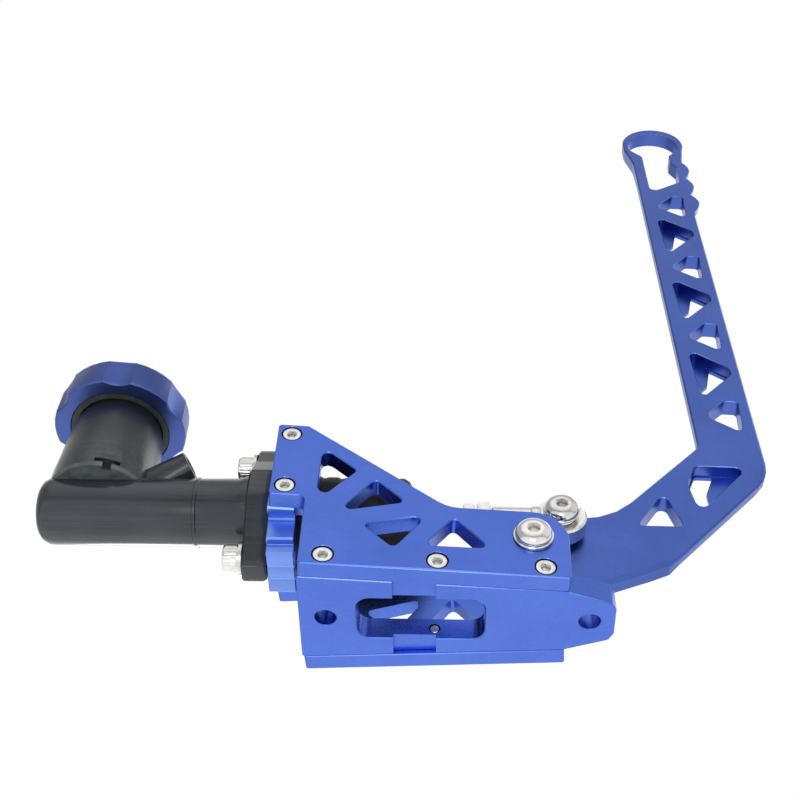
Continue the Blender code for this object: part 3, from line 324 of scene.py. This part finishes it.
SMOOTH = {a: smooth_group(a) for a in (24, 34, 50)}


def shade(o, angle):
    if "custom_normal" in o.data.attributes:
        o.data.attributes.remove(o.data.attributes["custom_normal"])
    m = o.modifiers.new("smooth", "NODES")
    m.node_group = SMOOTH[angle]


def finish_of(name):
    if name.startswith("frame_screw") or name.startswith("flange_bolt"):
        return STEEL
    if name.startswith("flange_washer"):
        return ZINC
    return {
        "base_plate": BLUE, "side_plate_near": BLUE, "side_plate_far": BLUE, "cylinder_bracket": BLUE_GLOSS_PAINTED_LIGHT, "reservoir_cap": BLUE_CAP,
        "lever": LEVER, "master_cylinder_body": CAST, "pushrod_boot": RUBBER, "primary_cup": RUBBER, "secondary_cup": RUBBER,
        "cap_diaphragm": RUBBER, "cap_gasket": GASKET, "pivot_bush": BRONZE, "return_spring": SPRING, "stop_washer": SPRING,
        "snap_ring": SPRING, "pivot_bolt": DOME, "pivot_washer_near": DOME, "piston": ZINC,
        "pivot_washer_far": ZINC, "pivot_nut": ZINC, "pivot_spacer_long": ZINC, "pivot_spacer_short": ZINC,
        "rod_end_nut": ZINC, "rod_end_spacer": ZINC,
    }.get(name, STEEL)


def mark_chamfers(o, widest):
    """Face attribute, 1 on strips narrower than widest mm whose long sides turn by more than 18 degrees; the anodised
    materials paint highlights on these strips.
    """
    me = o.data
    key = lambda i: tuple(round(c * 1e6) for c in me.vertices[i].co)
    sides = {}
    for f in me.polygons:
        v = list(f.vertices)
        for a, b in zip(v, v[1:] + v[:1]):
            ka, kb = key(a), key(b)
            sides.setdefault((min(ka, kb), max(ka, kb)), []).append(f.index)
    values = [0.0] * len(me.polygons)
    for f in me.polygons:
        v = list(f.vertices)
        spans = sorted(((me.vertices[a].co - me.vertices[b].co).length, a, b) for a, b in zip(v, v[1:] + v[:1]))
        length, a, b = spans[-1]
        if length < 1e-7 or 2 * f.area / length / MM > widest:
            continue
        ka, kb = key(a), key(b)
        near = [j for j in sides[(min(ka, kb), max(ka, kb))] if j != f.index]
        if near and me.polygons[near[0]].normal.angle(f.normal, 0.0) > math.radians(18):
            values[f.index] = 1.0
    layer = me.attributes.new("chamfer", "FLOAT", "FACE")
    layer.data.foreach_set("value", values)


def mark_painted_foot_light(o):
    """Face attribute for painted light: 1 on the downward-facing foot and 0.45 on the pad of the reservoir's neck,
    which the casting paints lighter.
    """
    values = []
    for f in o.data.polygons:
        c, nrm = f.center / MM, f.normal
        r = math.hypot(c.x + 203.1, c.y)
        foot = 70.0 < c.z < 72.0 and nrm.z < -0.6 and r > 14.0
        pad = 75.5 < c.z < 82.0 and r > 24.3 and c.y < 0 and c.x > -203.0 and -0.5 < nrm.z
        values.append(1.0 if foot else 0.45 if pad and r < 27.0 and c.z < 81.9 and abs(nrm.z) < 0.6 and r > 25.12 else 0.0)
    layer = o.data.attributes.new("skin", "FLOAT", "FACE")
    layer.data.foreach_set("value", values)


ANGLE = {"master_cylinder_body": 34, "reservoir_cap": 24, "pushrod_boot": 50, "return_spring": 50}
for name, o in nodes.items():
    o.data.materials.clear()
    o.data.materials.append(finish_of(name))
    if name in ("base_plate", "side_plate_near", "side_plate_far", "lever", "cylinder_bracket", "reservoir_cap"):
        mark_chamfers(o, 0.95 if name == "lever" else 0.7)
    if name == "master_cylinder_body":
        mark_painted_foot_light(o)
    shade(o, ANGLE.get(name, 34))

# ---------------------------------------------------------------- finer fasteners and pushrod
def new_piece(name, bm, mat, node, body, angle=34):
    me = bpy.data.meshes.new(name)
    bmesh.ops.recalc_face_normals(bm, faces=bm.faces)
    bm.to_mesh(me)
    bm.free()
    o = bpy.data.objects.new(name, me)
    scene.collection.objects.link(o)
    me.materials.append(mat)
    shade(o, angle)
    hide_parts(node)
    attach(o, body)
    return o


BODY_OF = {n: o["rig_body"] for n, o in nodes.items()}


def bridge(bm, a, b):
    n = len(a)
    for k in range(n):
        bm.faces.new((a[k], a[(k + 1) % n], b[(k + 1) % n], b[k]))


def basis(axis):
    ax = Vector(axis).normalized()
    u = Vector((0, 0, 1)) if abs(ax.z) < 0.9 else Vector((1, 0, 0))
    u = (u - ax * u.dot(ax)).normalized()
    return ax, u, ax.cross(u)


def thread(depth, pitch, s, t):
    """Depth below the crest of a V thread at height s and angle t."""
    f = (s / pitch - t / (2 * math.pi)) % 1.0
    return depth * min(1.0, abs(2 * f - 1) * 1.25)


def screw(node, axis, head_r, head_h, shank_r, hex_af, hex_d, mat, dome=False, teeth=0, pitch=0.8, threaded=12.0, n=72):
    """Socket screw in the place of a CAD node, with its thread, knurl and bevelled socket."""
    ax, u, v = basis(axis)
    pts = {tuple(round(c, 7) for c in q.co) for q in nodes[node].data.vertices}
    pts = [Vector(q) / MM for q in pts]
    s = [q.dot(ax) for q in pts]
    top, bottom = max(s), min(s)
    rim = [q for q, h in zip(pts, s) if h > top - 0.01]
    mid = sum(rim, Vector()) / len(rim)
    o = mid - ax * head_h
    length = top - head_h - bottom

    def ring(h, r, hexed=False, wave=0.0, cut=0.0):
        row = []
        for k in range(n):
            t = 2 * math.pi * k / n
            rr = r
            if hexed:
                rr = r / math.cos((t % (math.pi / 3)) - math.pi / 6)
            if wave:
                rr -= wave * (0.5 - 0.5 * math.cos(teeth * t))
            if cut:
                rr -= thread(cut, pitch, h, t)
            row.append(bm.verts.new((o + ax * h + (u * math.cos(t) + v * math.sin(t)) * rr) * MM))
        return row

    bm = bmesh.new()
    depth = 0.55 * pitch
    rows = [ring(-length, shank_r - depth - 0.1), ring(-length + 0.5, shank_r, cut=depth)]
    count = int(threaded / (pitch / 5))
    rows += [ring(-length + 0.5 + threaded * (k + 1) / count, shank_r, cut=depth) for k in range(count)]
    rows += [ring(-length + 0.9 + threaded, shank_r), ring(0.0, shank_r)]
    if dome:
        rows += [ring(0.0, head_r - 0.35), ring(0.15, head_r - 0.08), ring(0.45, head_r)]
        rim_r = hex_af / 2 * 1.1547 + 0.35
        for k in range(1, 17):
            a = math.radians(90 * k / 16)
            rows.append(ring(0.45 + (head_h - 0.45) * math.sin(a), rim_r + (head_r - rim_r) * math.cos(a)))
    elif teeth:
        rows += [ring(0.0, head_r - 0.15), ring(0.7, head_r - 0.15), ring(0.9, head_r, wave=0.26), ring(head_h - 1.3, head_r, wave=0.26),
                 ring(head_h - 1.0, head_r - 0.12), ring(head_h - 0.35, head_r - 0.16), ring(head_h - 0.1, head_r - 0.34), ring(head_h, head_r - 0.62)]
    else:
        rows += [ring(0.0, head_r), ring(head_h - 0.45, head_r), ring(head_h - 0.13, head_r - 0.13), ring(head_h, head_r - 0.45)]
    rows += [ring(head_h, hex_af / 2 * 1.1547 + 0.14), ring(head_h - 0.28, hex_af / 2, True), ring(head_h - hex_d, hex_af / 2, True), ring(head_h - hex_d - 0.3, hex_af / 2 - 1.0)]
    for a, b in zip(rows, rows[1:]):
        bridge(bm, a, b)
    bm.faces.new(rows[0])
    bm.faces.new(rows[-1])
    return new_piece(node + "_fine", bm, mat, node, BODY_OF[node])


for tag, axis in (("near", (0.0620, -0.9981, 0.0)), ("far", (0.0620, 0.9981, 0.0))):
    for k in range(1, 6):
        screw(f"frame_screw_{tag}_{k}", axis, 4.25, 5.0, 2.4, 4.0, 2.5, STEEL, threaded=8.0, n=48)
for tag in ("upper", "lower"):
    screw(f"flange_bolt_{tag}", (-1, 0, 0), 6.5, 7.2, 4.0, 6.0, 4.0, STEEL, teeth=32, pitch=1.25, threaded=14.0, n=144)
screw("pivot_bolt", (0, -1, 0), 8.05, 4.2, 4.0, 5.0, 2.6, DOME, dome=True, pitch=1.25, threaded=14.0, n=96)
screw("rod_end_bolt", (0, -1, 0), 8.0, 4.2, 4.0, 5.0, 2.6, DOME_ROD_PAINTED_SHADE, dome=True, pitch=1.25, threaded=12.0, n=96)

# threaded pushrod
start, end = Vector((15.6, 0.0, 62.0)), Vector((-125.2, 0.0, 64.8))
ax, u, v = basis(end - start)
bm = bmesh.new()
n, pitch = 40, 1.25


def rod_ring(h, r, cut=0.0):
    row = []
    for k in range(n):
        t = 2 * math.pi * k / n
        rr = r - (thread(cut, pitch, h, t) if cut else 0.0)
        row.append(bm.verts.new((start + ax * h + (u * math.cos(t) + v * math.sin(t)) * rr) * MM))
    return row


rows = [rod_ring(22.0, 3.3), rod_ring(22.5, 3.9, 0.55)]
steps = int(78.0 / (pitch / 5))
rows += [rod_ring(22.5 + 78.0 * (k + 1) / steps, 4.0, 0.62) for k in range(steps)]
rows += [rod_ring(h, r) for h, r in ((101.2, 3.98), (104.0, 3.98), (104.8, 3.7), (105.5, 3.2), (134.5, 3.2), (135.2, 3.3), (136.0, 3.6), (137.4, 3.88), (138.6, 3.98),
                                     (139.5, 3.8), (140.2, 3.3), (140.7, 2.4), (140.9, 1.6), (141.0, 0.6))]
for a, b in zip(rows, rows[1:]):
    bridge(bm, a, b)
bm.faces.new(rows[0])
bm.faces.new(rows[-1])
new_piece("pushrod_threaded", bm, STEEL, "pushrod", "rod")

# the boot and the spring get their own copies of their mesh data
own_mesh(nodes["pushrod_boot"])
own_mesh(nodes["return_spring"])

# ---------------------------------------------------------------- floor, light, camera
me = bpy.data.meshes.new("floor")
bm = bmesh.new()
bmesh.ops.create_grid(bm, x_segments=8, y_segments=8, size=6.0)
bm.to_mesh(me)
bm.free()
floor = bpy.data.objects.new("floor", me)
floor.location = (0.0, 0.0, -0.95)
scene.collection.objects.link(floor)
m, t, b, mm = new_material("floor")
t.link(t.mix(t.noise(mm, 0.004, 2.0), (0.80, 0.80, 0.80), (0.84, 0.84, 0.84)), b.inputs["Base Color"])
b.inputs["Roughness"].default_value = 0.9
b.inputs["Emission Color"].default_value = (1.0, 1.0, 1.0, 1.0)
b.inputs["Emission Strength"].default_value = 0.22
me.materials.append(m)

world = bpy.data.worlds.new("studio")
scene.world = world
world.use_nodes = True
w = Tree(world.node_tree)
bg = world.node_tree.nodes["Background"]
d = w.add("ShaderNodeTexCoord").outputs["Generated"]
sep = w.add("ShaderNodeSeparateXYZ")
w.link(d, sep.inputs[0])


def patch(direction, inner, outer):
    """1 within inner degrees of a direction, falling to 0 at outer degrees."""
    dot = w.vector("DOT_PRODUCT", d, tuple(Vector(direction).normalized())).outputs["Value"]
    return w.range(dot, math.cos(math.radians(outer)), math.cos(math.radians(inner)), 0.0, 1.0, smooth=True)


def toward(level, mask, value):
    """level moved to value where mask is 1."""
    return w.math("ADD", w.math("MULTIPLY", level, w.math("SUBTRACT", 1.0, mask)), w.math("MULTIPLY", mask, value))


ROOM, TABLE = 0.50, 1.0
back = w.range(sep.outputs[1], -0.06, 0.16, 0.0, 1.0, smooth=True)        # the pale table and wall behind the part
left = w.range(sep.outputs[0], -0.42, -0.62, 0.0, 1.0, smooth=True)       # the room's darker side
level = toward(w.math("ADD", ROOM, 0.0), back, TABLE)
level = toward(level, w.math("MULTIPLY", left, 0.75), 0.42)
level = toward(level, patch((-0.02, -0.78, 0.60), 18, 38), 0.92)          # large soft box in front, above
level = toward(level, patch((0.75, -0.45, 0.45), 16, 34), 0.80)           # side soft box
level = toward(level, patch((0.0, -0.63, -0.78), 8, 24), 0.62)            # pale surface below the camera
level = toward(level, patch((0.0, 0.30, -0.95), 6, 17), 0.55)
level = toward(level, w.math("MULTIPLY", patch((0.0, -0.985, -0.17), 2, 13), 0.8), 0.26)
bgcol = w.mix(level, (0.0, 0.0, 0.0), (1.0, 1.0, 1.0))
w.link(bgcol, bg.inputs["Color"])
bg.inputs["Strength"].default_value = 1.0


def area_light(name, loc, look, size, power, spread=180.0):
    data = bpy.data.lights.new(name, "AREA")
    data.shape = "RECTANGLE"
    data.size, data.size_y = size
    data.energy = power
    data.spread = math.radians(spread)
    o = bpy.data.objects.new(name, data)
    o.location = loc
    o.rotation_mode = "QUATERNION"
    o.rotation_quaternion = (Vector(look) - Vector(loc)).to_track_quat("-Z", "Y")
    scene.collection.objects.link(o)
    return o


area_light("key", (-0.1, -1.9, 1.55), (0, 0, 0.15), (1.8, 1.2), 0.8)
area_light("table", (0.0, 2.2, 0.6), (0.0, 0.6, -0.95), (1.6, 1.0), 18)
area_light("side", (0.55, 0.36, 0.95), (-0.15, 0.0, 0.08), (0.5, 0.5), 0.6)
area_light("near_camera", (-0.10, -0.98, -0.72), (0, 0, 0.06), (0.55, 0.40), 1.5)

# camera: below and in front of the part, looking up at the near plate and the base's underside
F, EL, YAW, ROLL = 1387.294, math.radians(50.864), math.radians(-3.083), math.radians(2.980)
fw = Vector((math.sin(YAW) * math.cos(EL), math.cos(YAW) * math.cos(EL), math.sin(EL)))
right = Vector((math.cos(YAW), -math.sin(YAW), 0.0))
up = right.cross(fw)
r2 = math.cos(ROLL) * right + math.sin(ROLL) * up
u2 = -math.sin(ROLL) * right + math.cos(ROLL) * up
cam = bpy.data.cameras.new("camera")
cam.sensor_width = 36.0
cam.lens = F / 800 * 36.0
cam.clip_start, cam.clip_end = 0.01, 50.0
camera = bpy.data.objects.new("camera", cam)
place = Matrix((r2, u2, -fw)).transposed().to_4x4()
place.translation = Vector((-0.037916, -0.453039, -0.406831))
camera.matrix_world = place
scene.collection.objects.link(camera)
scene.camera = camera
scene.view_settings.view_transform = "Standard"
scene.view_settings.look = "None"
